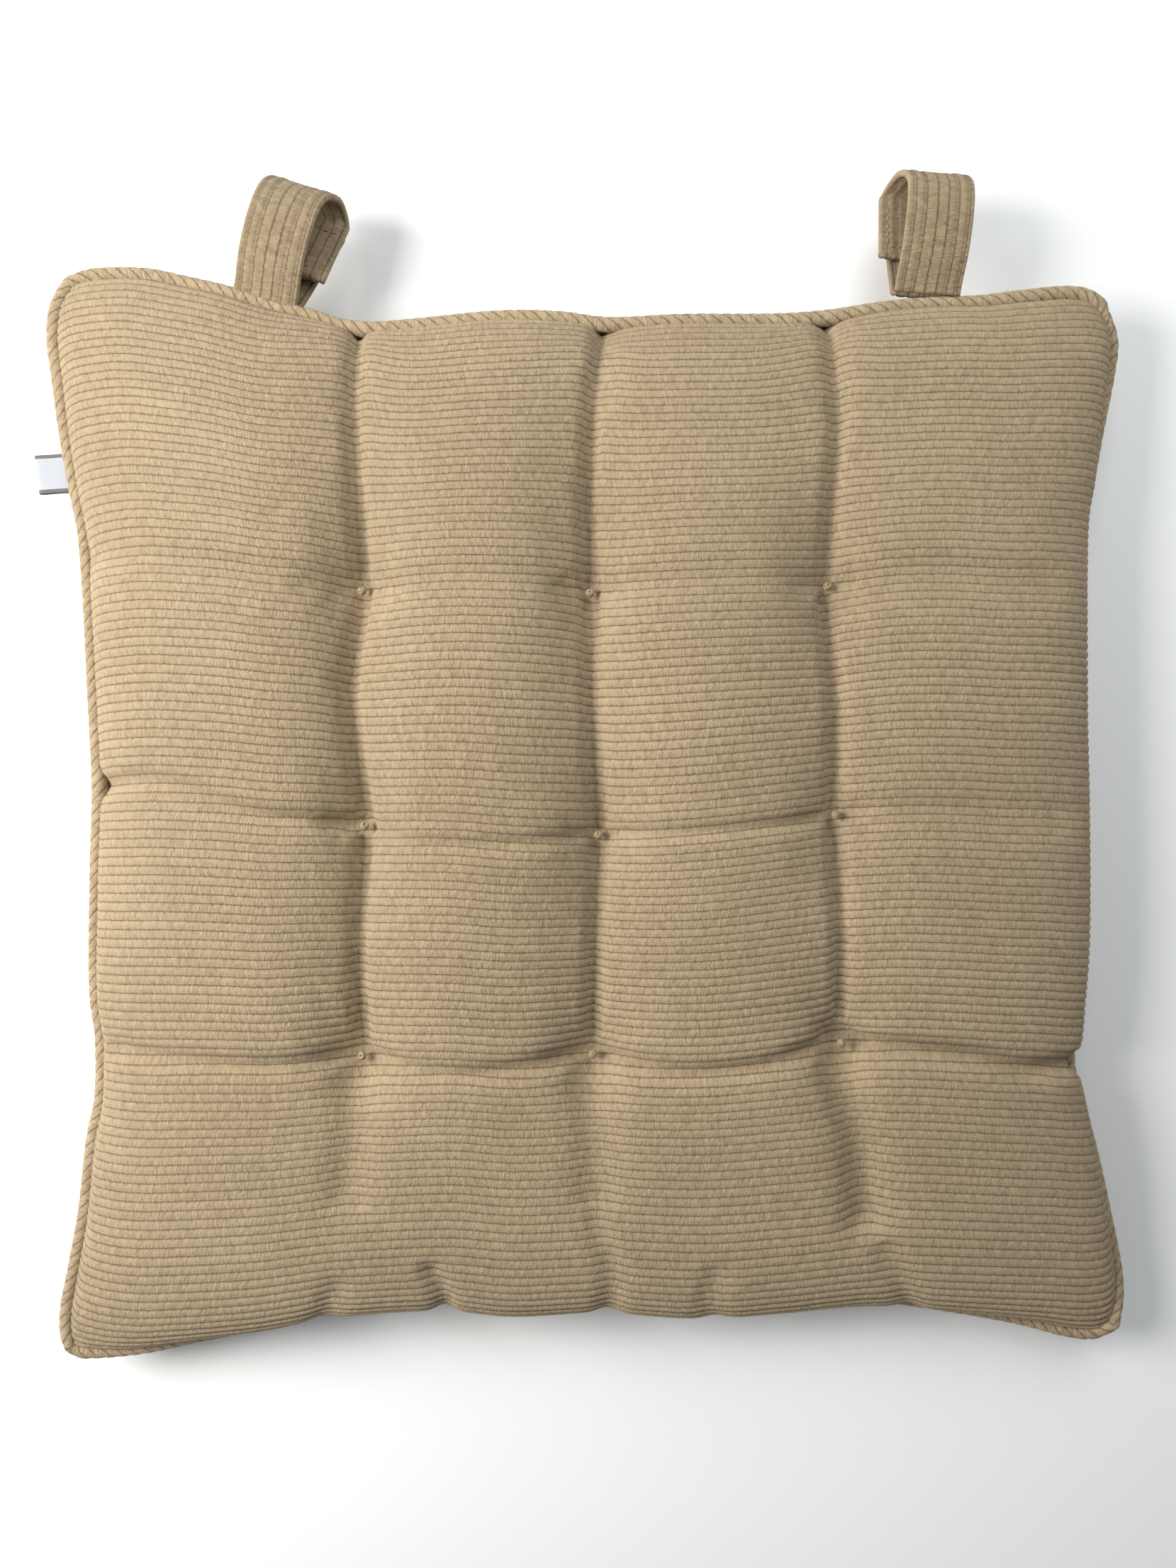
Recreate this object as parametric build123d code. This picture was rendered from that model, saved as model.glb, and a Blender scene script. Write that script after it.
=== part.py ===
from build123d import *
import math
import os

# Tufted corduroy seat cushion with two hook-and-loop straps, millimetres.
# +Z is up with the cushion lying on its underside, +Y points to the rear edge that carries the straps,
# and +X runs along the ribs of the corduroy. Everything is drawn about the middle of the cushion and
# moved by CENTRE at the end, so that the origin is under the middle of the whole part's box.
CENTRE = (2.5, -19.5)

# Heights
SEAM_Z = 26.0            # middle of the piping, half way up the edge
TOP_RISE = 31.0          # highest bulge above the seam
BOTTOM_DROP = 28.5       # lowest bulge below the seam, before the underside is pressed flat
TOP_STEP = 2.6           # edge of the top cover above the seam plane
BOTTOM_STEP = 3.3        # edge of the bottom cover below it

# Covers and piping
COVER_T = 1.2
PIPING_R = 3.0
CORD_R = 1.9
FLANGE_W = 8.0           # seam allowance of the piping, sewn between the covers
FLANGE_T = 1.2
FLANGE_GAP = 0.1         # between its two layers
THREAD_T = 0.5           # seam thread
THREAD_MARKS = 12        # points each run of it follows
CORNER_R = 16.0
PANEL_INSET = PIPING_R + 1.6
CORE_INSET = PIPING_R + FLANGE_W + 4.0
CORE_GAP = 1.2           # between the covers and the filling
CORE_TIGHTNESS = 1.15    # the filling draws in a little more than the covers at each tuft
UNDER_TRIM = 0.8         # how far the bulges underneath are trimmed to lie flat
CORNER_SHARPNESS = 16
CORNER_PULL = 0.03       # share by which the panels' corners are drawn in
HALF_WIDTH = 190.0
GRID = 40                # spans of the cover surfaces each way
SURFACE_TOL = 0.7

# Tufts: three columns by three rows
TUFT_X = (-83.0, 1.5, 88.5)
TUFT_Y = (82.5, -3.0, -84.5)
PIT_DEPTH = 17.0
PIT_W = 13.0
VALLEY_DEPTH = 5.0
VALLEY_W = 12.0
BOTTOM_PIT_SHARE = 0.6   # the pits underneath are shallower
THREAD_R = 0.9
THREAD_HOLE_R = 1.2
THREAD_CLEAR = 1.0       # from a thread's ends to the covers' inner faces
KNOT_R = 2.7
KNOT_CLEAR = 0.5

# Centre line of the piping, one open line for each side, sharp corner to sharp corner
REAR = [(-202, 204.5), (-156, 201.5), (-122, 192.5), (-86, 184), (0, 185.5), (80, 187), (126, 193.5), (198, 198)]
FRONT = [(-199, -204.5), (-125, -195), (-60, -188), (60, -188), (105, -186.5), (150, -191), (202.5, -198)]
LEFT = [(-199, -204.5), (-187, -125), (-184, -80), (-184.5, 0), (-190, 110), (-202, 204.5)]
RIGHT = [(202.5, -198), (196, -150), (187.5, -100), (188.5, 0), (189.5, 110), (198, 198)]

# Straps: each is a band folded into a loop and closed on a short tab.
# In the profile the first number runs outward from the piping's middle and the second one up.
# For each strap: its root on the piping, how far it leans to the right, and the seam's own direction there.
STRAPS = {"left": ((-122.0, 192.5), 17.5, -15.0), "right": ((126.0, 194.6), 5.0, 5.5)}
STRAP_W = 25.0
STRAP_T = 3.0
TAPE_W = 22.0
TAPE_L = 22.0
TAPE_T = 1.0
TAPE_GAP = 0.35          # between the two halves of the closure
TAB_ROOT = (4.4, -2.2)
TAB_SLOPE = 18.0         # degrees downward
TAB_L = 34.0
TAPE_START = 10.0        # along the tab
RETURN_START = 8.5
BAND_ROOT = (4.4, 2.0)
BAND_LINE = [BAND_ROOT, (15, 7.5), (28, 10), (40, 8.5), (48.5, 3.5), (50.2, -3.5), (45.5, -8.3)]
STITCH_T = 0.4
SEWN_END_L = 3.0
SEWN_END_T = 1.2

# Label in the left seam
LABEL_X = -192.8
LABEL_Y = 131.0
LABEL_W = 15.0
LABEL_OUT = 12.5
LABEL_T = 1.4
LABEL_SEAM = 5.0         # degrees, direction of the seam there
LABEL_SKEW = 2.0         # how much further out its front corner reaches


def side_curve(points):
    return Spline(*points)


SIDES = {
    "rear": side_curve(REAR),
    "front": side_curve(FRONT),
    "left": side_curve(LEFT),
    "right": side_curve(RIGHT),
}


def plan_point(s, t):
    """Point of the plan, s from left to right and t from front to rear, blended from the four sides."""
    across = (SIDES["front"] @ s) * (1 - t) + (SIDES["rear"] @ s) * t
    along = (SIDES["left"] @ t) * (1 - s) + (SIDES["right"] @ t) * s
    lower = (SIDES["front"] @ 0) * (1 - s) + (SIDES["front"] @ 1) * s
    upper = (SIDES["rear"] @ 0) * (1 - s) + (SIDES["rear"] @ 1) * s
    return across + along - lower * (1 - t) - upper * t


def panel_point(s, t, inset):
    """Plan point of a panel: the plan drawn in by inset at its edges, with its corners rounded."""
    point = plan_point(s, t)
    corner = (abs(2 * s - 1) * abs(2 * t - 1)) ** CORNER_SHARPNESS
    shrink = 1 - inset / HALF_WIDTH - CORNER_PULL * corner
    return Vector(point.X * shrink, point.Y * shrink)


def bell(distance, width):
    return math.exp(-((distance / width) ** 2))


def edge_profile(share):
    """0 at an edge and 1 over the middle, rising steeply like a stuffed edge."""
    off = abs(2 * share - 1)
    return (1 - off**5) ** 0.7


def tuft_depth(x, y):
    pits = max(bell(math.hypot(x - tx, y - ty), PIT_W) for tx in TUFT_X for ty in TUFT_Y)
    columns = max(bell(x - tx, VALLEY_W) for tx in TUFT_X)
    rows = max(bell(y - ty, VALLEY_W) for ty in TUFT_Y)
    return PIT_DEPTH * pits + VALLEY_DEPTH * max(columns, 0.7 * rows) * (1 - pits)


def cover_height(point, fullness, top, tightness=1.0):
    """Height of a cover's outer surface above the table. Underneath, the table presses the bulges flat."""
    depth = tuft_depth(point.X, point.Y) * fullness * tightness
    if top:
        return SEAM_Z + TOP_STEP + (TOP_RISE - TOP_STEP) * fullness - depth
    free = SEAM_Z - BOTTOM_STEP - (BOTTOM_DROP - BOTTOM_STEP) * fullness + BOTTOM_PIT_SHARE * depth
    return max(free, -UNDER_TRIM)


def cover_surface(top, inset, shift, tightness=1.0):
    """Smooth surface through a grid of cover points, drawn in by inset and moved up by shift."""
    rows = []
    for i in range(GRID + 1):
        s = i / GRID
        row = []
        for j in range(GRID + 1):
            t = j / GRID
            point = panel_point(s, t, inset)
            fullness = edge_profile(s) * edge_profile(t)
            row.append(Vector(point.X, point.Y, cover_height(point, fullness, top, tightness) + shift))
        rows.append(row)
    return Face.make_surface_from_array_of_points(rows, tol=SURFACE_TOL, min_deg=3, max_deg=3)


def solid_between(upper, lower):
    """Closed solid between two surfaces whose edges stand over each other."""
    sides = []
    for edge in upper.edges():
        partner = min(lower.edges(), key=lambda e: ((e @ 0.5) - (edge @ 0.5)).length)
        sides.append(Face.make_surface_from_curves(edge, partner))
    return Solid(Shell([upper, lower] + sides))


def outline_wire():
    corners = Wire([SIDES["front"], SIDES["right"], SIDES["rear"], SIDES["left"]])
    return corners.fillet_2d(CORNER_R, corners.vertices())


def tuft_places():
    return [(x, y) for y in TUFT_Y for x in TUFT_X]


def place_at(points, solid, z):
    return [Pos(x, y, z) * solid for x, y in points]


def thread_holes(radius):
    return place_at(tuft_places(), Cylinder(radius, 200), 0)


def as_one(shape):
    """The largest solid of a result."""
    return max(shape.solids(), key=lambda solid: solid.volume)


def tuft_height(x, y, top):
    """Height of a cover's outer surface at a tuft, where the edges no longer matter."""
    return cover_height(Vector(x, y), 1.0, top)


def cover_top():
    return Solid.extrude(cover_surface(True, PANEL_INSET, -COVER_T), Vector(0, 0, COVER_T))


def cover_bottom():
    """The bulges underneath are trimmed to the flat faces that lie on the table."""
    panel = Solid.extrude(cover_surface(False, PANEL_INSET, 0), Vector(0, 0, COVER_T + UNDER_TRIM))
    return as_one(panel & Pos(0, 0, 100) * Box(500, 500, 200))


def fibre_core():
    """Loose fibre filling, with the passages that the tuft threads pull through it."""
    upper = cover_surface(True, CORE_INSET, -COVER_T - CORE_GAP, CORE_TIGHTNESS)
    lower = cover_surface(False, CORE_INSET, COVER_T + UNDER_TRIM + CORE_GAP, CORE_TIGHTNESS)
    core = solid_between(upper, lower)
    return as_one(core.cut(*thread_holes(THREAD_HOLE_R)))


def ring(section):
    """A section carried round the whole outline, its first axis pointing into the cushion."""
    path = Pos(0, 0, SEAM_Z) * outline_wire()
    start, ahead = path @ 0, path % 0
    inward = Vector(0, 0, 1).cross(ahead)
    if inward.dot(start) > 0:
        inward = -inward
    return sweep(Plane(origin=start, x_dir=inward, z_dir=ahead) * section, path=path)


def piping_cover():
    """Bias strip wrapped round the cord, its two layers carried on between the covers as the seam allowance."""
    inner = CORD_R + 0.05
    half_gap = FLANGE_GAP / 2
    half = FLANGE_T / 2
    far = PIPING_R + FLANGE_W
    near_inner = math.sqrt(inner**2 - half_gap**2)
    near_outer = math.sqrt(PIPING_R**2 - half**2)
    edges = [
        Line((near_inner, half_gap), (far, half_gap)),
        Line((far, half_gap), (far, half)),
        Line((far, half), (near_outer, half)),
        ThreePointArc((near_outer, half), (-PIPING_R, 0), (near_outer, -half)),
        Line((near_outer, -half), (far, -half)),
        Line((far, -half), (far, -half_gap)),
        Line((far, -half_gap), (near_inner, -half_gap)),
        ThreePointArc((near_inner, -half_gap), (-inner, 0), (near_inner, half_gap)),
    ]
    return ring(make_face(edges))


def piping_cord():
    return ring(Circle(CORD_R))


def seam_thread():
    """Stitching line through the piping's allowance: four runs of thread lying on it, one for each side."""
    shrink = 1 - (PIPING_R + 3.0) / HALF_WIDTH
    height = SEAM_Z + FLANGE_T / 2 + THREAD_T / 2 + 0.05
    runs = []
    for side in SIDES.values():
        marks = [(side @ (0.06 + 0.88 * i / THREAD_MARKS)) * shrink for i in range(THREAD_MARKS + 1)]
        path = Pos(0, 0, height) * Spline(*marks)
        section = Plane(origin=path @ 0, z_dir=path % 0) * Rectangle(THREAD_T, THREAD_T)
        runs.append(sweep(section, path=path))
    return Compound(children=runs)


def tuft_threads():
    threads = []
    for x, y in tuft_places():
        low = tuft_height(x, y, False) + COVER_T + UNDER_TRIM + THREAD_CLEAR
        high = tuft_height(x, y, True) - COVER_T - THREAD_CLEAR
        threads.append(Pos(x, y, (low + high) / 2) * Cylinder(THREAD_R, high - low))
    return Compound(children=threads)


def tuft_knots(top):
    knot = Sphere(KNOT_R)
    lift = KNOT_R + KNOT_CLEAR if top else -KNOT_R - KNOT_CLEAR
    knots = [Pos(x, y, tuft_height(x, y, top) + lift) * knot for x, y in tuft_places()]
    return Compound(children=knots)


def tab_point(along, off):
    """Profile point on the tab, along it from its root and off it upward."""
    slope = math.radians(TAB_SLOPE)
    outward = TAB_ROOT[0] + along * math.cos(slope) + off * math.sin(slope)
    up = TAB_ROOT[1] - along * math.sin(slope) + off * math.cos(slope)
    return (outward, up)


def tab_slab(start, length, low, high, width):
    """Flat piece lying along the tab, low and high being measured off the tab's middle."""
    corners = [
        tab_point(start, low),
        tab_point(start + length, low),
        tab_point(start + length, high),
        tab_point(start, high),
    ]
    face = Plane.YZ * make_face(Polyline(*corners, close=True))
    return extrude(face, amount=width / 2, both=True)


TAB_TAPE_TOP = STRAP_T / 2 + TAPE_T
BAND_TAPE_LOW = TAB_TAPE_TOP + TAPE_GAP
BAND_LOW = BAND_TAPE_LOW + TAPE_T
BAND_MIDDLE = BAND_LOW + STRAP_T / 2


def strap_tab():
    return tab_slab(0, TAB_L, -STRAP_T / 2, STRAP_T / 2, STRAP_W)


def tab_tape():
    return tab_slab(TAPE_START, TAPE_L, STRAP_T / 2, TAB_TAPE_TOP, TAPE_W)


def band_tape():
    return tab_slab(TAPE_START, TAPE_L, BAND_TAPE_LOW, BAND_LOW, TAPE_W)


def strap_band():
    """Band that leaves the seam, turns over at the far end and comes back above the tab."""
    meet = tab_point(TAB_L - 1.0, BAND_MIDDLE)
    end = tab_point(RETURN_START, BAND_MIDDLE)
    back = (end[0] - meet[0], end[1] - meet[1])
    line = Spline(*BAND_LINE, meet, tangents=[(0.85, 0.5), back])
    count = 28
    outer = []
    inner = []
    for i in range(count + 1):
        point = line @ (i / count)
        heading = line % (i / count)
        side = Vector(-heading.Y, heading.X) * (STRAP_T / 2)
        outer.append(point + side)
        inner.append(point - side)
    outer_end = tab_point(RETURN_START, BAND_LOW)
    inner_end = tab_point(RETURN_START, BAND_LOW + STRAP_T)
    edges = [
        Spline(*outer),
        Line(outer[-1], outer_end),
        Line(outer_end, inner_end),
        Line(inner_end, inner[-1]),
        Spline(*reversed(inner)),
        Line(inner[0], outer[0]),
    ]
    face = Plane.YZ * make_face(edges)
    return extrude(face, amount=STRAP_W / 2, both=True)


def stitch_frame(low):
    """Rectangle of stitching that holds a tape, on the far side of the fabric."""
    frame = tab_slab(TAPE_START + 1.5, TAPE_L - 3.0, low, low + STITCH_T, TAPE_W - 3.0)
    hole = tab_slab(TAPE_START + 2.1, TAPE_L - 4.2, low - 1, low + STITCH_T + 1, TAPE_W - 4.2)
    return frame - hole


def strap_sewn_end():
    """The strap's ends inside the cushion, stitched under the piping's allowance."""
    inward = PIPING_R + 3.5
    block = Box(STRAP_W, SEWN_END_L, SEWN_END_T)
    return Pos(0, -inward - SEWN_END_L / 2, -FLANGE_T / 2 - 0.1 - SEWN_END_T / 2) * block


def side_label():
    """Folded woven label that sticks out of the left seam, with its outer end a little askew."""
    near = -PIPING_R - 0.15
    half = LABEL_W / 2
    corners = [(near, -half), (near - LABEL_OUT - LABEL_SKEW, -half), (near - LABEL_OUT, half), (near, half)]
    slab = extrude(make_face(Polyline(*corners, close=True)), amount=LABEL_T / 2, both=True)
    return Pos(LABEL_X, LABEL_Y, SEAM_Z - 0.5) * Rot(0, 0, LABEL_SEAM) * slab


def strap_nodes():
    nodes = {}
    for side, ((x, y), lean, seam) in STRAPS.items():
        place = Pos(x, y, SEAM_Z) * Rot(0, 0, -lean)
        nodes[f"strap_{side}_tab"] = place * strap_tab()
        nodes[f"strap_{side}_tab_tape"] = place * tab_tape()
        nodes[f"strap_{side}_tab_stitching"] = place * stitch_frame(-STRAP_T / 2 - STITCH_T)
        nodes[f"strap_{side}_band"] = place * strap_band()
        nodes[f"strap_{side}_band_tape"] = place * band_tape()
        nodes[f"strap_{side}_band_stitching"] = place * stitch_frame(BAND_LOW + STRAP_T)
        nodes[f"strap_{side}_sewn_end"] = Pos(x, y, SEAM_Z) * Rot(0, 0, seam) * strap_sewn_end()
    return nodes


def build():
    nodes = {
        "cover_top": cover_top(),
        "cover_bottom": cover_bottom(),
        "piping_cover": piping_cover(),
        "piping_cord": piping_cord(),
        "seam_thread": seam_thread(),
        "fibre_core": fibre_core(),
        "tuft_threads": tuft_threads(),
        "tuft_knots_top": tuft_knots(True),
        "tuft_knots_bottom": tuft_knots(False),
        "side_label": side_label(),
    }
    nodes.update(strap_nodes())
    return nodes


os.makedirs("parts", exist_ok=True)
for name, shape in build().items():
    export_step(Pos(CENTRE[0], CENTRE[1], 0) * shape, f"parts/{name}.step")
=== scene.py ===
import math

import bmesh
import bpy
import numpy as np
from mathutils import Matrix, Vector


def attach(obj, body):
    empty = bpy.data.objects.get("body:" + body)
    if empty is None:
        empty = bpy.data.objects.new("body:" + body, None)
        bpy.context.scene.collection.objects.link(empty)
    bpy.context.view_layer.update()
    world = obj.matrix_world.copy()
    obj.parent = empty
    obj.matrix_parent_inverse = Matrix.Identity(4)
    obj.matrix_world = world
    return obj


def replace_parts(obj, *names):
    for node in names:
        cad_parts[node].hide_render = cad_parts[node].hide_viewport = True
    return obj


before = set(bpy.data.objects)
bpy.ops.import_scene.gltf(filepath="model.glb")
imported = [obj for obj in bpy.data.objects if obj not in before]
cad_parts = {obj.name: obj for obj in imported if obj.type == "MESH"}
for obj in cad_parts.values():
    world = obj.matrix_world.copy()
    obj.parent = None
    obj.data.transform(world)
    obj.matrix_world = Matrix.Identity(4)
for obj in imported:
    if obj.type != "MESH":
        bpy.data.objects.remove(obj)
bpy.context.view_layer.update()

# Lengths below are millimetres about the middle of the cushion; MID carries that middle into the frame.
MM = 0.001
MID = np.array([2.5, -19.5, 0.0])
SEAM_Z = 26.0
rng = np.random.default_rng(7)

# ---- outline of the piping's middle, corner to corner ----
REAR = [(-195.5, 200.5), (-188, 203.0), (-179, 203.6), (-166, 203.2), (-150, 199.8), (-136, 196.4),
        (-120, 191.2), (-105, 187.4), (-93, 183.6), (-80, 182.4), (-64, 183.6), (-34, 186.6), (-12, 186.4),
        (6, 184.2), (34, 185.2), (71, 185.5), (89, 187.0), (110, 190.4), (129, 192.4), (146, 193.2),
        (160, 195.1), (180, 197.2), (187, 196.4), (192.5, 193.5)]
RIGHT = [(199.8, -193.8), (201.6, -184), (201.4, -174), (198, -155), (193, -131), (189.5, -117), (186, -104),
         (184, -95), (185, -73), (186.5, -50), (186.5, 4), (186, 40), (187.5, 110), (190.0, 123),
         (193.7, 147), (197.3, 170), (197.7, 181), (192.5, 193.5)]
FRONT = [(-197.3, -200.9), (-194, -203.2), (-186, -203.6), (-169.7, -202.3), (-153, -199.2), (-125, -194.0),
         (-93, -187.0), (-54, -184), (-30, -186), (3, -184.5), (41, -187), (71, -185.5), (104, -183.6),
         (138, -187.5), (166, -192.4), (181, -196.2), (192, -197.2), (199.8, -193.8)]
LEFT = [(-197.3, -200.9), (-198.4, -195), (-197.7, -185), (-195.5, -175), (-190, -149), (-186, -119),
        (-183.2, -106), (-182.8, -82), (-184.8, -66), (-184.4, -18), (-183.6, 11), (-185, 41), (-189.6, 108),
        (-191.7, 118), (-195.6, 139), (-199.1, 164), (-201.2, 181), (-200, 192), (-195.5, 200.5)]
# Height of the seam at the corners and at the middle of each side
CORNER_Z = {"rear_left": 24, "rear_right": 22, "front_left": 19, "front_right": 17}
SIDE_Z = {"rear": 27, "right": 15, "front": 15, "left": 26}
# How far the middle of each side is drawn in under the bulge above it
DRAWN_IN = {"rear": (0, 0), "right": (-1, 0), "front": (0, 1), "left": (0, 0)}
# How far the top panel swells out over the seam
SWELL = {"right": 13.0, "front": 14.0, "left": 2.0}

# Tufts as columns by rows: place in the plan, and where they sit in the cloth
TUFTS = [[(-83.0, 82.6), (-0.3, 81.8), (85.6, 84.2)],
         [(-82.4, -2.7), (3.1, -6.0), (89.0, 1.1)],
         [(-83.0, -86.0), (1.2, -85.2), (90.6, -81.4)]]
TUFT_SHARE = (0.282, 0.5, 0.718)
PIT_Z = 37.0
UNDER_PIT_Z = 11.0
# Valleys that the tufts pull from the front row to the rear seam: their way in the plan, front to rear,
# and their height against the share of the panel's length from its front edge
VALLEYS = [[(-83, -86), (-84, -45), (-82, -3), (-87, 48), (-83, 83), (-86, 145), (-86, 190)],
           [(1, -85), (2, -45), (3, -6), (1, 40), (0, 82), (1, 150), (6, 190)],
           [(91, -81), (91, -40), (89, 1), (89, 40), (86, 84), (90, 150), (88, 190)]]
VALLEY_Z = [(0.282, 37), (0.33, 39.5), (0.39, 41), (0.45, 39.5), (0.5, 37), (0.55, 39.5), (0.61, 41),
            (0.67, 39.5), (0.718, 37), (0.76, 39.5), (0.84, 41.5), (0.90, 40), (0.95, 36), (0.98, 31)]

PANEL_W = 413.0          # cut width of a panel between seams
PANEL_L = 418.0
VALLEY_CREASE = (4.6, 3.0)   # depth and half width of the crease along a valley
RIB_DEPTH = 0.8
WALE = 3.35              # rib pitch
CLOTH_N = 96             # cloth squares each way


def place(points):
    """Cushion millimetres to frame metres."""
    return (np.asarray(points, float) + MID) * MM


def smooth_line(points, count, closed=False):
    """Evenly spaced points on a smooth curve through the given ones."""
    p = np.asarray(points, float)
    if closed:
        p = np.vstack([p[-2:], p, p[:3]])
    knots = np.r_[0, np.cumsum(np.sqrt(np.linalg.norm(np.diff(p, axis=0), axis=1)))]
    slope = np.gradient(p, knots, axis=0)
    t = np.linspace(knots[0], knots[-1], 60 * len(p))
    k = np.clip(np.searchsorted(knots, t, side="right") - 1, 0, len(p) - 2)
    h = (knots[k + 1] - knots[k])[:, None]
    f = ((t - knots[k]) / (knots[k + 1] - knots[k]))[:, None]
    fine = ((2 * f**3 - 3 * f**2 + 1) * p[k] + (f**3 - 2 * f**2 + f) * h * slope[k]
            + (3 * f**2 - 2 * f**3) * p[k + 1] + (f**3 - f**2) * h * slope[k + 1])
    if closed:
        fine = fine[(t >= knots[2]) & (t <= knots[len(p) - 3])]
    run = np.r_[0, np.cumsum(np.linalg.norm(np.diff(fine, axis=0), axis=1))]
    at = np.linspace(0, run[-1], count + 1 if closed else count)
    if closed:
        at = at[:-1]
    return np.stack([np.interp(at, run, fine[:, a]) for a in range(p.shape[1])], axis=1)


def side_z(name, corner_a, corner_b, count):
    t = np.linspace(0, 1, count)
    ends = CORNER_Z[corner_a] * (1 - t) + CORNER_Z[corner_b] * t
    middle = np.sin(np.pi * t) ** 0.6
    return ends * (1 - middle) + SIDE_Z[name] * middle


def rim(count):
    """The four sides of the seam as count points each, with their heights."""
    sides = {"rear": (REAR, "rear_left", "rear_right"), "front": (FRONT, "front_left", "front_right"),
             "left": (LEFT, "front_left", "rear_left"), "right": (RIGHT, "front_right", "rear_right")}
    made = {}
    for name, (line, a, b) in sides.items():
        flat = smooth_line(line, count)
        flat += np.sin(np.pi * np.linspace(0, 1, count))[:, None] ** 0.6 * DRAWN_IN[name]
        made[name] = np.c_[flat, side_z(name, a, b, count)]
    return made


def bump(x, width):
    return np.exp(-(x / width) ** 2)


# Folds of the top panel: points, depth and half width
FOLDS = [
    ([(91, -81), (93, -98), (98, -118), (101, -145)], 6.0, 8),
    ([(-83, -86), (-84, -110), (-88, -135)], 3.5, 8),
    ([(1, -85), (2, -110), (3, -135)], 3.5, 8),
    ([(-181, 12), (-162, 14), (-144, 10), (-122, 2), (-82, -3)], 4.5, 4),
    ([(91, -81), (120, -84), (142, -87), (160, -92), (184, -92)], 5.0, 4),
    ([(-82, -3), (-60, -8), (-40, -9), (-20, -8), (3, -6)], 2.0, 3),
    ([(3, -6), (30, -5), (60, -3), (89, 1)], 2.4, 3),
    ([(-83, -86), (-60, -90), (-40, -91), (1, -85)], 3.4, 4),
    ([(1, -85), (30, -91), (60, -89), (91, -81)], 3.6, 4),
    ([(-83, -86), (-105, -88), (-130, -88), (-175, -84)], 3.2, 4),
    ([(-83, 83), (-40, 86), (0, 82)], 1.6, 6),
    ([(0, 82), (45, 87), (86, 84)], 1.6, 6),
    ([(86, 84), (125, 88), (165, 86)], 1.8, 8),
    ([(-83, 83), (-125, 88), (-180, 98)], 2.2, 7),
    ([(89, 1), (130, 3), (170, 0)], 1.8, 8),
    ([(-56, -192), (-54, -178), (-58, -166)], 2.6, 4),
    ([(-104, -196), (-98, -184), (-93, -172)], 1.6, 5),
    ([(6, -190), (8, -168), (2, -140), (4, -120)], 2.2, 5),
    ([(48, -190), (44, -180), (46, -168)], 1.4, 5),
    ([(122, -194), (118, -178), (108, -158)], 1.8, 5),
    ([(-86, 190), (-86, 172), (-86, 150)], 2.5, 5),
    ([(6, 190), (5, 172), (2, 150)], 3.0, 5),
    ([(88, 190), (89, 172), (90, 150)], 3.0, 5),
]


def press_folds(grid, nrm):
    """Presses the named folds into a panel."""
    depth = np.zeros(grid.shape[:2])
    for points, deep, wide in FOLDS + [(line, *VALLEY_CREASE) for line in VALLEYS]:
        line = smooth_line(points, 24)
        gap = np.full(grid.shape[:2], 1e9)
        for a, b in zip(line[:-1], line[1:]):
            step = b - a
            share = np.clip(((grid[..., :2] - a) @ step) / (step @ step), 0, 1)
            gap = np.minimum(gap, np.linalg.norm(grid[..., :2] - a - share[..., None] * step, axis=-1))
        depth = np.maximum(depth, deep * bump(gap, wide))
    return grid - nrm * depth[..., None]


def start_grid(n, top):
    """Starting shape of a panel, (n+1, n+1, 3): the plan blended from the sides, crowned, tufts drawn in."""
    sides = rim(n + 1)
    s = np.linspace(0, 1, n + 1)[:, None, None]
    t = np.linspace(0, 1, n + 1)[None, :, None]
    grid = (sides["front"][:, None] * (1 - t) + sides["rear"][:, None] * t
            + sides["left"][None] * (1 - s) + sides["right"][None] * s)
    grid -= (sides["front"][0] * (1 - s) + sides["front"][-1] * s) * (1 - t)
    grid -= (sides["rear"][0] * (1 - s) + sides["rear"][-1] * s) * t
    full = ((1 - abs(2 * s - 1) ** 4) * (1 - abs(2 * t - 1) ** 4))[..., 0] ** 0.6
    # tufts pull the plan towards their own places
    shift = np.zeros_like(grid[..., :2])
    weight = np.full(grid.shape[:2], 1e-9)
    for row, v in zip(TUFTS, TUFT_SHARE[::-1]):
        for (x, y), u in zip(row, TUFT_SHARE):
            i, j = round(u * n), round(v * n)
            w = bump(np.hypot(s[..., 0] - u, t[..., 0] - v), 0.13)
            shift += w[..., None] * (np.array([x, y]) - grid[i, j, :2])
            weight += w
    grid[..., :2] += shift / np.maximum(weight, 1)[..., None]
    rise = 29.0 if top else -24.0
    grid[..., 2] += rise * full
    for row in TUFTS:
        for x, y in row:
            near = bump(np.hypot(grid[..., 0] - x, grid[..., 1] - y), 15)
            goal = PIT_Z if top else UNDER_PIT_Z
            grid[..., 2] += (goal - grid[..., 2]) * near
    return grid


def pull_valleys(grid):
    """Draws the top panel down to its valleys and gives the cells that are held there."""
    n = grid.shape[0] - 1
    cells = []
    share = np.linspace(0, 1, n + 1)
    heights = [*VALLEY_Z, (1, SIDE_Z["rear"])]
    for column, u in enumerate(TUFT_SHARE):
        i = round(u * n)
        rows = [TUFTS[2][column][1], TUFTS[1][column][1], TUFTS[0][column][1]]
        line = np.array(VALLEYS[column], float)
        for j in range(round(TUFT_SHARE[0] * n), n):
            places = (*rows, rows[2] + 90, rows[2] + 98, grid[i, n, 1])
            y = np.interp(share[j], (*TUFT_SHARE, 0.95, 0.98, 1), places)
            goal = np.array([np.interp(y, line[:, 1], line[:, 0]), y, np.interp(share[j], *zip(*heights))])
            near = bump(share - u, 0.045)[:, None]
            grid[:, j] += near * (goal - grid[i, j])
            cells.append((i, j))
    return cells


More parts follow.
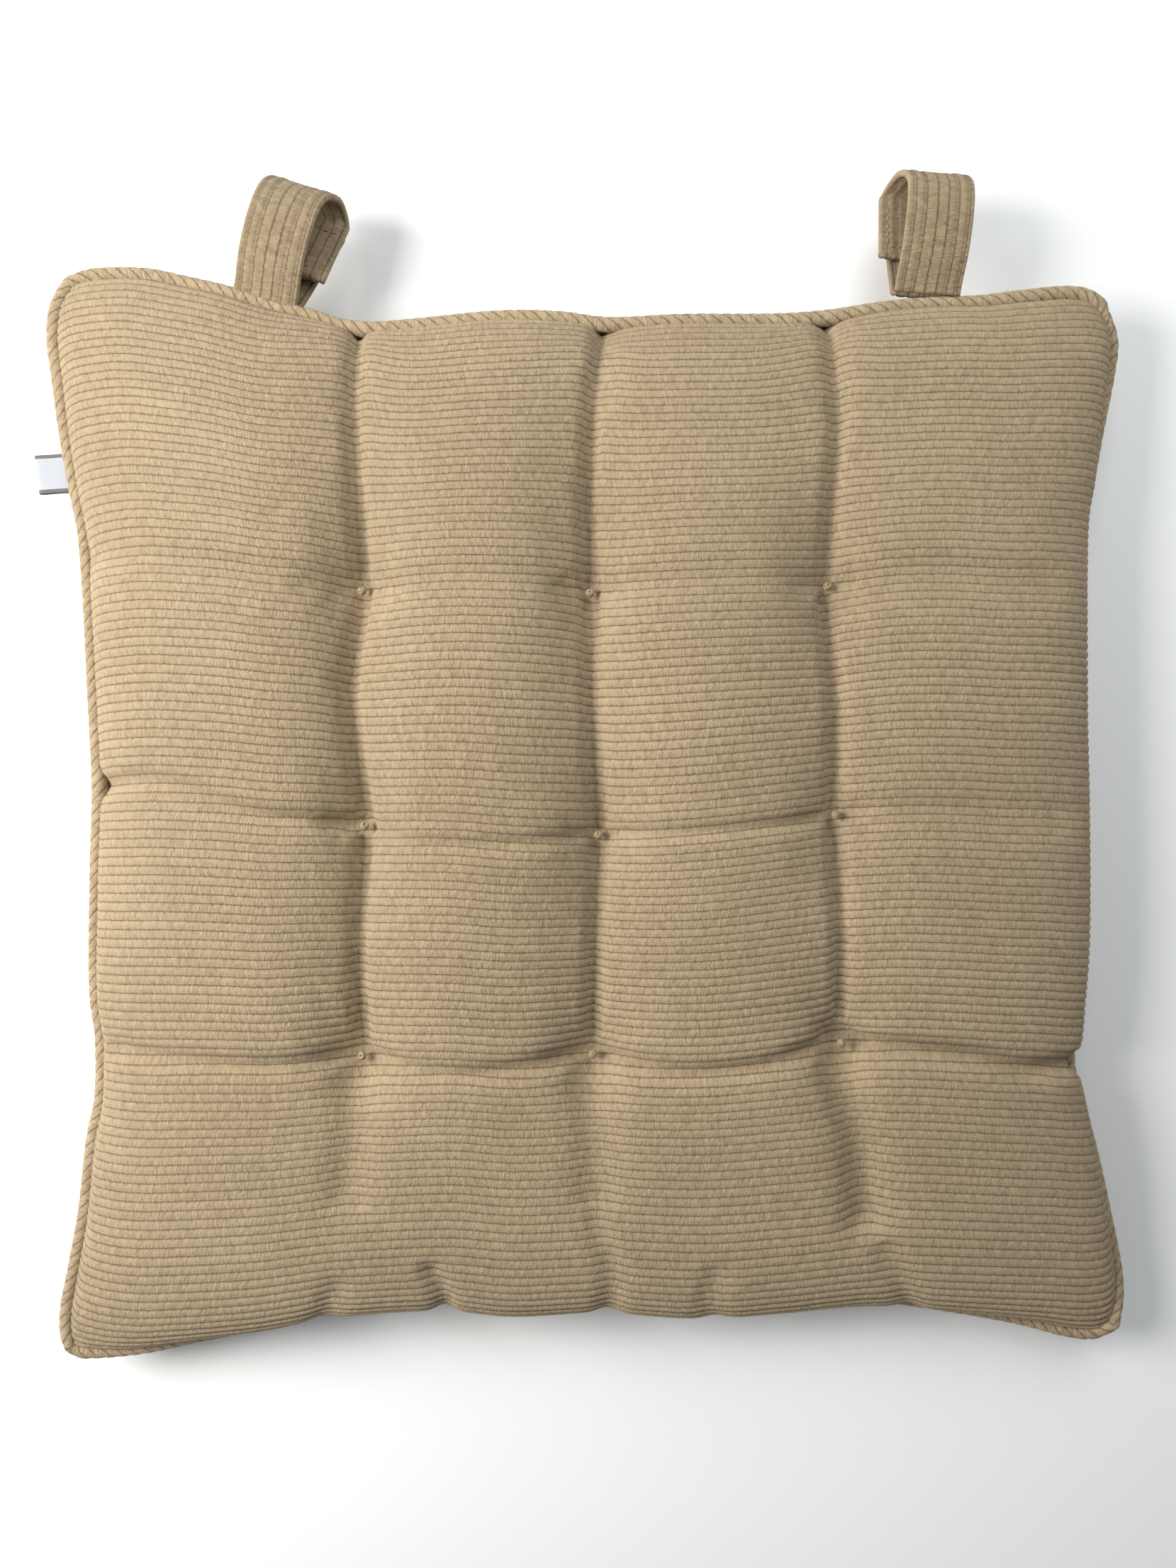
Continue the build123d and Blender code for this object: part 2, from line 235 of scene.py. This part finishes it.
def swell(grid):
    """Pushes the top panel's edges out over the seam."""
    share = np.linspace(0, 1, grid.shape[0])
    middle = np.sin(np.pi * share) ** 0.5
    for name, far in SWELL.items():
        off = (share if name in ("left", "front") else 1 - share) / 0.05
        push = far * off * np.exp(1 - off)
        if name == "front":
            grid[..., 1] -= push[None, :] * middle[:, None]
        else:
            grid[..., 0] += push[:, None] * middle[None, :] * (1 if name == "right" else -1)
    return grid


def tuft_cells(n):
    return [(round(u * n), round(v * n)) for v in TUFT_SHARE[::-1] for u in TUFT_SHARE]


def simulate(n):
    """Cloth simulation of the closed cover: both panels sewn at the rim, held there and at the tufts."""
    top, under = start_grid(n, True), start_grid(n, False)
    valleys = pull_valleys(top)
    m = n + 1
    inside = np.zeros((m, m), bool)
    inside[1:-1, 1:-1] = True
    top_id = np.arange(m * m).reshape(m, m)
    under_id = top_id.copy()
    under_id[inside] = m * m + np.arange(inside.sum())
    verts = np.vstack([top.reshape(-1, 3), under[inside]])
    quads = []
    for ids, flip in ((top_id, False), (under_id, True)):
        q = np.stack([ids[:-1, :-1], ids[1:, :-1], ids[1:, 1:], ids[:-1, 1:]], axis=-1).reshape(-1, 4)
        quads.append(q[:, ::-1] if flip else q)
    mesh = bpy.data.meshes.new("sim")
    mesh.from_pydata((verts * MM).tolist(), [], np.vstack(quads).tolist())
    obj = bpy.data.objects.new("sim", mesh)
    bpy.context.scene.collection.objects.link(obj)
    # the flat cut of the cloth gives its rest lengths
    s, t = np.meshgrid(np.linspace(-0.5, 0.5, m), np.linspace(-0.5, 0.5, m), indexing="ij")
    flat = np.stack([s * PANEL_W, t * PANEL_L, 0 * s], axis=-1)
    flat_verts = np.vstack([flat.reshape(-1, 3), flat[inside]]) * MM
    obj.shape_key_add(name="Basis")
    key = obj.shape_key_add(name="flat")
    key.data.foreach_set("co", flat_verts.ravel())
    key.value = 0
    held = obj.vertex_groups.new(name="held")
    pins = set(top_id[~inside].tolist())
    for i, j in tuft_cells(n):
        pins |= {int(top_id[i, j]), int(under_id[i, j])}
    pins |= {int(top_id[i, j]) for i, j in valleys}
    held.add(sorted(pins), 1.0, "REPLACE")
    cloth = obj.modifiers.new("Cloth", "CLOTH")
    c = cloth.settings
    c.quality = 6
    c.mass = 0.3
    c.air_damping = 4
    c.tension_stiffness = 25
    c.compression_stiffness = 25
    c.shear_stiffness = 8
    c.bending_stiffness = 0.6
    c.tension_damping = 10
    c.compression_damping = 10
    c.shear_damping = 10
    c.vertex_group_mass = "held"
    c.pin_stiffness = 1
    c.rest_shape_key = key
    c.use_pressure = True
    c.uniform_pressure_force = 9.0
    c.effector_weights.gravity = 0
    cloth.collision_settings.use_collision = False
    frames = 40
    cloth.point_cache.frame_start = 1
    cloth.point_cache.frame_end = frames
    for f in range(1, frames + 1):
        bpy.context.scene.frame_set(f)
    done = obj.evaluated_get(bpy.context.evaluated_depsgraph_get()).to_mesh()
    co = np.empty(len(verts) * 3)
    done.vertices.foreach_get("co", co)
    co = co.reshape(-1, 3) / MM
    bpy.data.objects.remove(obj)
    bpy.context.scene.frame_set(1)
    return swell(co[top_id]), co[under_id]


def upsample(n, m):
    """Matrix that takes n+1 samples to m+1 samples along a cubic curve through them."""
    at = np.linspace(0, n, m + 1)
    k = np.minimum(at.astype(int), n - 1)
    f = at - k
    weights = ((-f**3 + 2 * f**2 - f) / 2, (3 * f**3 - 5 * f**2 + 2) / 2,
               (-3 * f**3 + 4 * f**2 + f) / 2, (f**3 - f**2) / 2)
    out = np.zeros((m + 1, n + 1))
    rows = np.arange(m + 1)
    for offset, w in zip((-1, 0, 1, 2), weights):
        np.add.at(out, (rows, np.clip(k + offset, 0, n)), w)
    return out


def normals_of(grid):
    du = np.gradient(grid, axis=0)
    dv = np.gradient(grid, axis=1)
    nrm = np.cross(du, dv)
    return nrm / np.maximum(np.linalg.norm(nrm, axis=-1, keepdims=True), 1e-9)


def new_object(name, verts, faces):
    mesh = bpy.data.meshes.new(name)
    mesh.from_pydata(verts.reshape(-1, 3).tolist(), [], faces.tolist())
    mesh.validate()
    mesh.polygons.foreach_set("use_smooth", [True] * len(mesh.polygons))
    obj = bpy.data.objects.new(name, mesh)
    bpy.context.scene.collection.objects.link(obj)
    return obj


def set_uv(obj, uv):
    layer = obj.data.uv_layers.new(name="UVMap")
    loops = np.empty(len(obj.data.loops), int)
    obj.data.loops.foreach_get("vertex_index", loops)
    layer.data.foreach_set("uv", uv.reshape(-1, 2)[loops].ravel())


def grid_faces(rows, cols, flip=False, wrap_rows=False, wrap_cols=False):
    i = np.arange(rows if wrap_rows else rows - 1)
    j = np.arange(cols if wrap_cols else cols - 1)
    i, j = np.meshgrid(i, j, indexing="ij")
    i2, j2 = (i + 1) % rows, (j + 1) % cols
    q = np.stack([i * cols + j, i2 * cols + j, i2 * cols + j2, i * cols + j2], axis=-1).reshape(-1, 4)
    return q[:, ::-1] if flip else q


def rib(phase):
    """Rounded rib with a narrow groove at each whole number of phase."""
    f = phase % 1.0
    return np.sqrt(np.maximum(1 - (2 * f - 1) ** 2 * 0.98, 0))


def panel(name, coarse, across, along, flip):
    """Dense ribbed panel from a simulated one; across counts steps over the ribs, along steps on them."""
    n = coarse.shape[0] - 1
    a, b = upsample(n, along), upsample(n, across)
    grid = np.einsum("ai,ijk,bj->abk", a, coarse, b)
    nrm = normals_of(grid) * (-1 if flip else 1)
    if not flip:
        grid = press_folds(grid, nrm)
        nrm = normals_of(grid)
    u = np.linspace(0, PANEL_W, along + 1)
    v = np.linspace(0, PANEL_L, across + 1)
    ridge = rib(v / WALE)[None, :]
    edge = np.minimum(1, np.minimum(u, PANEL_W - u) / 5)[:, None]
    grid = grid + nrm * (RIB_DEPTH * (ridge - 0.6) * edge)[..., None]
    obj = new_object(name, place(grid), grid_faces(along + 1, across + 1, flip))
    uv = np.stack(np.meshgrid(u, v, indexing="ij"), axis=-1) / 100
    set_uv(obj, uv)
    return obj


# ---- materials ----
def tree_of(name):
    mat = bpy.data.materials.new(name)
    mat.use_nodes = True
    return mat, mat.node_tree


class Nodes:
    """Small helper that adds nodes and links values or sockets to their inputs."""

    def __init__(self, tree):
        self.tree = tree

    def add(self, kind, inputs=None, **settings):
        node = self.tree.nodes.new(kind)
        for key, value in settings.items():
            setattr(node, key, value)
        for key, value in (inputs or {}).items():
            if isinstance(value, bpy.types.NodeSocket):
                self.tree.links.new(value, node.inputs[key])
            else:
                node.inputs[key].default_value = value
        return node

    def math(self, operation, a, b=0.0, c=0.0):
        return self.add("ShaderNodeMath", {0: a, 1: b, 2: c}, operation=operation).outputs[0]

    def mix(self, share, a, b, blend="MIX"):
        node = self.add("ShaderNodeMix", {"Factor": share}, data_type="RGBA", blend_type=blend)
        for key, value in ((6, a), (7, b)):
            if isinstance(value, bpy.types.NodeSocket):
                self.tree.links.new(value, node.inputs[key])
            else:
                node.inputs[key].default_value = value
        return node.outputs[2]

    def ramp(self, value, low, high):
        return self.add("ShaderNodeMapRange", {"Value": value, "From Min": low, "From Max": high}).outputs[0]

    def noise(self, vector, scale, detail=2.0, rough=0.5):
        return self.add("ShaderNodeTexNoise", {"Vector": vector, "Scale": scale, "Detail": detail,
                                               "Roughness": rough}).outputs["Fac"]


def corduroy(name, light, dark, sheen=0.35):
    mat, tree = tree_of(name)
    n = Nodes(tree)
    shader = tree.nodes["Principled BSDF"]
    uv = n.add("ShaderNodeUVMap", uv_map="UVMap").outputs[0]
    parts = n.add("ShaderNodeSeparateXYZ", {0: uv})
    along = n.math("MULTIPLY", parts.outputs[0], 100.0)
    phase = n.math("MULTIPLY", parts.outputs[1], 100.0 / WALE)
    cell = n.math("FLOOR", phase)
    frac = n.math("FRACT", phase)
    off = n.math("ABSOLUTE", n.math("SUBTRACT", n.math("MULTIPLY", frac, 2.0), 1.0))
    ridge = n.math("SUBTRACT", 1.0, n.math("POWER", off, 2.6))
    pile = n.add("ShaderNodeCombineXYZ", {0: n.math("MULTIPLY", along, 0.75),
                                          1: n.math("MULTIPLY", frac, 0.9),
                                          2: n.math("MULTIPLY", cell, 7.31)}).outputs[0]
    tuft = n.noise(pile, 1.0, 3.0, 0.6)
    crumb = n.noise(pile, 2.6, 2.0, 0.6)
    patch = n.noise(uv, 1.6, 3.0, 0.55)
    line = n.add("ShaderNodeTexWhiteNoise", {"W": cell}, noise_dimensions="1D").outputs["Value"]
    tone = n.math("MULTIPLY", n.ramp(tuft, 0.3, 0.7), 0.6)
    tone = n.math("ADD", tone, n.math("MULTIPLY", n.ramp(crumb, 0.3, 0.7), 0.4))
    tone = n.math("ADD", tone, n.math("MULTIPLY", line, 0.1))
    tone = n.math("ADD", tone, n.math("MULTIPLY", n.ramp(patch, 0.3, 0.7), 0.25))
    body = n.mix(tone, dark, light)
    # Painted shade: the colour darkens towards groove, a darker copy of the dark tan, in the grooves between
    # the ribs where ridge is low; the pile noise added here breaks up the edge of that shade.
    ridge = n.math("ADD", ridge, n.math("MULTIPLY", n.math("SUBTRACT", tuft, 0.5), 0.9))
    groove = [c * 0.55 for c in dark[:3]] + [1.0]
    colour = n.mix(n.ramp(ridge, 0.0, 0.62), groove, body)
    tree.links.new(colour, shader.inputs["Base Color"])
    fibre = n.noise(uv, 420.0, 2.0, 0.7)
    height = n.math("ADD", n.math("MULTIPLY", tuft, 1.0), n.math("MULTIPLY", fibre, 0.5))
    height = n.math("ADD", height, n.math("MULTIPLY", crumb, 0.6))
    normal = n.add("ShaderNodeBump", {"Height": height, "Distance": 0.0013, "Strength": 0.9}).outputs[0]
    tree.links.new(normal, shader.inputs["Normal"])
    shader.inputs["Roughness"].default_value = 0.92
    shader.inputs["Specular IOR Level"].default_value = 0.15
    shader.inputs["Sheen Weight"].default_value = sheen
    shader.inputs["Sheen Roughness"].default_value = 0.45
    shader.inputs["Sheen Tint"].default_value = (0.95, 0.82, 0.62, 1)
    return mat


LIGHT_TAN = (0.56, 0.43, 0.27, 1)
DARK_TAN = (0.32, 0.232, 0.132, 1)
corduroy_mat = corduroy("corduroy_tan", LIGHT_TAN, DARK_TAN)


def rest_on_table(grid, soft=4.0):
    """Presses whatever hangs lower than soft flat against the table, keeping it just above."""
    z = grid[..., 2]
    grid[..., 2] = np.where(z < soft, soft * np.exp((z - soft) / soft) * 0.9 + 0.4, z)


top_coarse, under_coarse = simulate(CLOTH_N)
rest_on_table(under_coarse)
ribs = int(PANEL_L / WALE)
cover_top = panel("cover_top_cloth", top_coarse, ribs * 4, 200, False)
cover_under = panel("cover_under_cloth", under_coarse, ribs * 4, 100, True)
for obj in (cover_top, cover_under):
    obj.data.materials.append(corduroy_mat)
    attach(obj, "cushion")
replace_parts(cover_top, "cover_top", "fibre_core")
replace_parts(cover_under, "cover_bottom")

# ---- piping ----
def piping():
    sides = rim(200)
    around = (sides["front"], sides["right"], sides["rear"][::-1], sides["left"][::-1])
    loop = np.vstack([side[:-1] for side in around])
    rings, seg = 1560, 14
    path = smooth_line(loop, rings, closed=True)
    ahead = np.roll(path, -1, axis=0) - np.roll(path, 1, axis=0)
    ahead /= np.linalg.norm(ahead, axis=1, keepdims=True)
    side = np.cross(ahead, [0, 0, 1.0])
    side /= np.linalg.norm(side, axis=1, keepdims=True)
    up = np.cross(side, ahead)
    turn = np.linspace(0, 2 * np.pi, seg, endpoint=False)
    run = np.arange(rings) * 1.0
    phase = run[:, None] / 4.7 + 3.0 * turn[None, :] / 4.7
    radius = 2.85 + 0.42 * (rib(phase) - 0.6) + 0.12 * np.sin(run / 23)[:, None]
    ring = (np.cos(turn)[None, :, None] * side[:, None] + np.sin(turn)[None, :, None] * up[:, None])
    verts = path[:, None] + ring * radius[..., None]
    obj = new_object("piping_cloth", place(verts), grid_faces(rings, seg, True, True, True))
    uv = np.stack([np.broadcast_to(run[:, None] * 0.7, phase.shape), phase * WALE], axis=-1) / 100
    set_uv(obj, uv)
    return obj


pipe = piping()
pipe.data.materials.append(corduroy("corduroy_piping", LIGHT_TAN, DARK_TAN))
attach(pipe, "cushion")
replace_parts(pipe, "piping_cover", "piping_cord", "seam_thread")

# ---- straps, told in the same profile as the CAD: outward from the seam, then up ----
STRAPS = {"left": ((-122.0, 192.5), 17.5, 7.0), "right": ((126.0, 194.6), 5.0, -7.0)}
TAB_ROOT = np.array([4.4, -2.2])
SLOPE = math.radians(18)
ALONG = np.array([math.cos(SLOPE), -math.sin(SLOPE)])
OFF = np.array([math.sin(SLOPE), math.cos(SLOPE)])
BAND_LINE = [(1.4, 1.0), (4.4, 2.0), (15, 7.5), (27, 9.5), (37, 8), (44, 3), (46, -3.5), (42.5, -8.5)]
TAPE_T = 1.0
BAND_OFF = 1.5 + 2 * TAPE_T + 0.35     # from the tab's middle to the band's near face
STRAP_WALE = 4.0


def on_tab(along, off):
    return TAB_ROOT + along * ALONG + off * OFF


def in_place(side, points):
    """Strap points (across, outward, up) to the cushion's millimetres."""
    (x, y), lean, _ = STRAPS[side]
    a = math.radians(lean)
    across, out, up = points[..., 0], points[..., 1], points[..., 2]
    return np.stack([x + across * math.cos(a) + out * math.sin(a),
                     y - across * math.sin(a) + out * math.cos(a), SEAM_Z + up], axis=-1)


def ribbon(name, side, line, width, thick, ribs, shift):
    """Flat fabric strip along a profile line, with rounded folded edges and ribs lengthwise on both faces."""
    count, half = 80, 60
    path = smooth_line(line, count)
    heading = np.gradient(path, axis=0)
    heading /= np.linalg.norm(heading, axis=1, keepdims=True)
    out = np.stack([-heading[:, 1], heading[:, 0]], axis=1)
    turn = np.linspace(0, 2 * np.pi, 2 * half, endpoint=False)
    w = width / 2 * np.sign(np.cos(turn)) * abs(np.cos(turn)) ** 0.45
    h = thick / 2 * np.sign(np.sin(turn)) * abs(np.sin(turn)) ** 0.45
    if ribs:
        h = h + 0.8 * (rib(w / STRAP_WALE + 0.5) - 0.7) * np.sign(h) * (abs(h) > thick * 0.3)
    run = np.linspace(0, 1, count)
    side_step = shift(run)[:, None] + 0 * w
    wave = 0.25 * np.sin(9 * run[:, None] + w[None, :] / 4)
    points = np.stack([w[None, :] + side_step,
                       path[:, :1] + out[:, :1] * (h + wave), path[:, 1:] + out[:, 1:] * (h + wave)], axis=-1)
    faces = grid_faces(count, 2 * half, False, False, True)
    obj = new_object(name, place(in_place(side, points)), faces)
    mesh = obj.data
    rib_phase = w[None, :] * WALE / STRAP_WALE + 100 + 0.5 * WALE
    uv = np.stack(np.broadcast_arrays(run[:, None] * 90, rib_phase), axis=-1) / 100
    set_uv(obj, uv)
    bm = bmesh.new()
    bm.from_mesh(mesh)
    bmesh.ops.holes_fill(bm, edges=[e for e in bm.edges if e.is_boundary], sides=0)
    bmesh.ops.recalc_face_normals(bm, faces=bm.faces)
    bm.to_mesh(mesh)
    bm.free()
    return obj


def tube(points, radius, closed, seg=8):
    """Vertices and faces of a round tube along points."""
    p = np.asarray(points, float)
    if closed:
        ahead = np.roll(p, -1, axis=0) - np.roll(p, 1, axis=0)
    else:
        ahead = np.gradient(p, axis=0)
    ahead /= np.linalg.norm(ahead, axis=1, keepdims=True)
    ref = np.array([0.31, 0.17, 0.93])
    side = np.cross(ahead, ref)
    side /= np.linalg.norm(side, axis=1, keepdims=True)
    up = np.cross(side, ahead)
    turn = np.linspace(0, 2 * np.pi, seg, endpoint=False)
    radius = np.broadcast_to(radius, len(p))[:, None, None]
    ring = np.cos(turn)[None, :, None] * side[:, None] + np.sin(turn)[None, :, None] * up[:, None]
    verts = p[:, None] + radius * ring
    return verts.reshape(-1, 3), grid_faces(len(p), seg, True, closed, True)


def joined(name, parts):
    verts, faces, start = [], [], 0
    for v, f in parts:
        verts.append(v)
        faces.append(f + start)
        start += len(v)
    return new_object(name, place(np.vstack(verts)), np.vstack(faces))


def dashes(corners, length, gap, radius):
    """Running stitches round a closed line of corner points."""
    parts = []
    for a, b in zip(corners, np.roll(corners, -1, axis=0)):
        run = np.linalg.norm(b - a)
        steps = max(1, int(run / (length + gap)))
        for k in range(steps):
            t = (k + np.linspace(0.08, length / (length + gap), 6)) / steps
            fat = radius * np.sin(np.linspace(0.35, math.pi - 0.35, 6)) ** 0.5
            parts.append(tube(a + (b - a) * t[:, None], fat, False, 6))
    return parts


def plain_thread(name, light, dark):
    mat, tree = tree_of(name)
    n = Nodes(tree)
    shader = tree.nodes["Principled BSDF"]
    at = n.add("ShaderNodeTexCoord").outputs["Object"]
    grain = n.noise(at, 900.0, 3.0, 0.6)
    tree.links.new(n.mix(n.ramp(grain, 0.3, 0.7), dark, light), shader.inputs["Base Color"])
    tree.links.new(n.add("ShaderNodeBump", {"Height": grain, "Distance": 0.0004, "Strength": 0.7}).outputs[0],
                   shader.inputs["Normal"])
    shader.inputs["Roughness"].default_value = 0.8
    shader.inputs["Specular IOR Level"].default_value = 0.2
    shader.inputs["Sheen Weight"].default_value = 0.2
    return mat


strap_mat = corduroy("corduroy_strap", (0.47, 0.36, 0.225, 1), (0.25, 0.18, 0.10, 1), sheen=0.3)
thread_mat = plain_thread("thread_tan", (0.42, 0.31, 0.18, 1), (0.22, 0.155, 0.085, 1))
tape_mat = plain_thread("tape_black", (0.045, 0.045, 0.05, 1), (0.012, 0.012, 0.014, 1))


def make_strap(side):
    lean_out = STRAPS[side][2]
    tab_line = [on_tab(t, 0) for t in (-3.2, 0, 11, 22, 34)]
    back = [on_tab(t, BAND_OFF + 1.5) for t in (33, 24, 16, 8.5)]
    tape_marks = (10, 17, 24, 32)
    pieces = {
        "band": ribbon(f"strap_{side}_band_cloth", side, BAND_LINE + back, 24.5, 2.7, True,
                       lambda r: lean_out * np.clip((r - 0.45) / 0.25, 0, 1) ** 1.5),
        "tab": ribbon(f"strap_{side}_tab_cloth", side, tab_line, 24.0, 2.7, True,
                      lambda r: lean_out * (0.15 + 0.6 * r)),
        "band_tape": ribbon(f"strap_{side}_hook_tape", side, [on_tab(t, BAND_OFF - 0.55) for t in tape_marks],
                            22.0, 1.0, False, lambda r: lean_out * 0.9 + 0 * r),
        "tab_tape": ribbon(f"strap_{side}_loop_tape", side, [on_tab(t, 2.0) for t in tape_marks],
                           22.0, 1.0, False, lambda r: lean_out * (0.3 + 0.5 * r)),
    }
    for kind, off in (("band", BAND_OFF + 3.1), ("tab", -1.6)):
        box = [(-9.5, 12), (9.5, 12), (9.5, 30), (-9.5, 30)]
        shift = lean_out * (0.95 if kind == "band" else 0.5)
        corners = np.array([[x + shift, *on_tab(t, off)] for x, t in box])
        corners = in_place(side, corners)
        pieces[kind + "_stitching"] = joined(f"strap_{side}_{kind}_stitches", dashes(corners, 2.2, 0.8, 0.32))
    for kind, obj in pieces.items():
        body = f"strap_{side}_loop" if kind.startswith("band") else f"strap_{side}_base"
        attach(obj, body)
        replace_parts(obj, f"strap_{side}_{kind}")
        look, slot = (strap_mat, "corduroy")
        if kind.endswith("tape"):
            look, slot = (tape_mat, "tape")
        if kind.endswith("stitching"):
            look, slot = (thread_mat, "thread")
        obj.data.materials.append(look)


for side in STRAPS:
    make_strap(side)


# ---- tuft knots ----
def knot(centre, size):
    """A small ball of thread: loops wound over each other."""
    parts = []
    turn = np.linspace(0, 2 * np.pi, 20, endpoint=False)
    for _ in range(5):
        a, b = rng.normal(size=3), rng.normal(size=3)
        a /= np.linalg.norm(a)
        b -= a * (a @ b)
        b /= np.linalg.norm(b)
        loop = centre + size * (0.62 * np.cos(turn)[:, None] * a + 0.62 * np.sin(turn)[:, None] * b)
        parts.append(tube(loop, size * 0.36, True))
    return parts


def knots(name, coarse, lift, size):
    parts = []
    for i, j in tuft_cells(CLOTH_N):
        parts += knot(coarse[i, j] + np.array([0, 0, lift]), size)
    obj = joined(name, parts)
    obj.data.materials.append(thread_mat)
    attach(obj, "cushion")
    return obj


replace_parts(knots("tuft_knots_top_thread", top_coarse, 0.5, 1.7), "tuft_knots_top", "tuft_threads")
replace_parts(knots("tuft_knots_under_thread", under_coarse, -0.6, 2.4), "tuft_knots_bottom")


# ---- label ----
def label():
    out = [(-190, 23.5), (-196, 23.0), (-203, 21.5), (-209.5, 20.0), (-210.2, 19.2), (-209.0, 18.7),
           (-203, 20.2), (-196, 21.7), (-190, 22.3)]
    path = smooth_line(out, 60)
    rows = np.linspace(-7.3, 7.3, 24)
    y = 130.0 + rows[None, :] + 0 * path[:, :1]
    x = path[:, :1] - 0.14 * rows[None, :]
    z = path[:, 1:] + 0.35 * np.sin(rows[None, :] / 4 + path[:, :1] / 5)
    obj = new_object("side_label_woven", place(np.stack([x, y, z], axis=-1)), grid_faces(60, 24))
    thick = obj.modifiers.new("thick", "SOLIDIFY")
    thick.thickness = 0.0004
    uv = np.stack(np.broadcast_arrays(np.linspace(0, 0.3, 60)[:, None], rows[None, :] / 100 + 0.1), axis=-1)
    set_uv(obj, uv)
    mat, tree = tree_of("label_white")
    n = Nodes(tree)
    shader = tree.nodes["Principled BSDF"]
    uv_node = n.add("ShaderNodeUVMap", uv_map="UVMap").outputs[0]
    sep = n.add("ShaderNodeSeparateXYZ", {0: uv_node})
    weave = n.math("MULTIPLY", n.math("SINE", n.math("MULTIPLY", sep.outputs[0], 1500.0)),
                   n.math("SINE", n.math("MULTIPLY", sep.outputs[1], 1500.0)))
    edge = n.math("ABSOLUTE", n.math("SUBTRACT", sep.outputs[1], 0.1))
    border = n.math("GREATER_THAN", edge, 0.059)
    tone = n.mix(n.ramp(weave, -1, 1), (0.36, 0.38, 0.42, 1), (0.50, 0.52, 0.56, 1))
    tree.links.new(n.mix(border, tone, (0.12, 0.12, 0.12, 1)), shader.inputs["Base Color"])
    tree.links.new(n.add("ShaderNodeBump", {"Height": weave, "Distance": 0.0002, "Strength": 0.5}).outputs[0],
                   shader.inputs["Normal"])
    shader.inputs["Roughness"].default_value = 0.6
    obj.data.materials.append(mat)
    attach(obj, "cushion")
    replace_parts(obj, "side_label")


label()

# CAD nodes that stay, inside the seam
for name in ("strap_left_sewn_end", "strap_right_sewn_end"):
    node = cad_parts[name]
    node.data.materials.clear()
    node.data.materials.append(strap_mat)

# ---- floor, light, camera ----
floor_mesh = bpy.data.meshes.new("floor")
floor_mesh.from_pydata([(-3, -3, 0), (3, -3, 0), (3, 3, 0), (-3, 3, 0)], [], [(0, 1, 2, 3)])
floor = bpy.data.objects.new("floor", floor_mesh)
bpy.context.scene.collection.objects.link(floor)
floor.location.z = -0.0005
mat, tree = tree_of("floor_white")
tree.nodes["Principled BSDF"].inputs["Base Color"].default_value = (0.93, 0.94, 0.925, 1)
tree.nodes["Principled BSDF"].inputs["Roughness"].default_value = 0.6
floor.data.materials.append(mat)


def area_light(name, at, to, size, power, colour):
    data = bpy.data.lights.new(name, "AREA")
    data.shape = "RECTANGLE"
    data.size, data.size_y = size
    data.energy = power
    data.color = colour
    obj = bpy.data.objects.new(name, data)
    obj.location = at
    obj.rotation_euler = (Vector(to) - Vector(at)).to_track_quat("-Z", "Y").to_euler()
    bpy.context.scene.collection.objects.link(obj)


area_light("window", (-0.6, 0.1, 0.47), (0.0, 0.0, 0.03), (0.4, 0.4), 8.6, (1.0, 0.985, 0.96))
area_light("room", (0.22, 0.5, 0.55), (0.05, 0.05, 0), (0.6, 0.6), 3.2, (0.96, 0.98, 1.0))
world = bpy.data.worlds.new("studio")
bpy.context.scene.world = world
world.use_nodes = True
world.node_tree.nodes["Background"].inputs[0].default_value = (0.93, 0.96, 1.0, 1)
world.node_tree.nodes["Background"].inputs[1].default_value = 0.25

camera_data = bpy.data.cameras.new("camera")
camera_data.lens = 26
camera_data.sensor_width = 36
camera = bpy.data.objects.new("camera", camera_data)
camera.location = (0.0018, -0.007, 0.4505)
camera.rotation_euler = (0, 0, 0)
bpy.context.scene.collection.objects.link(camera)
bpy.context.scene.camera = camera
bpy.context.scene.view_settings.view_transform = "Standard"
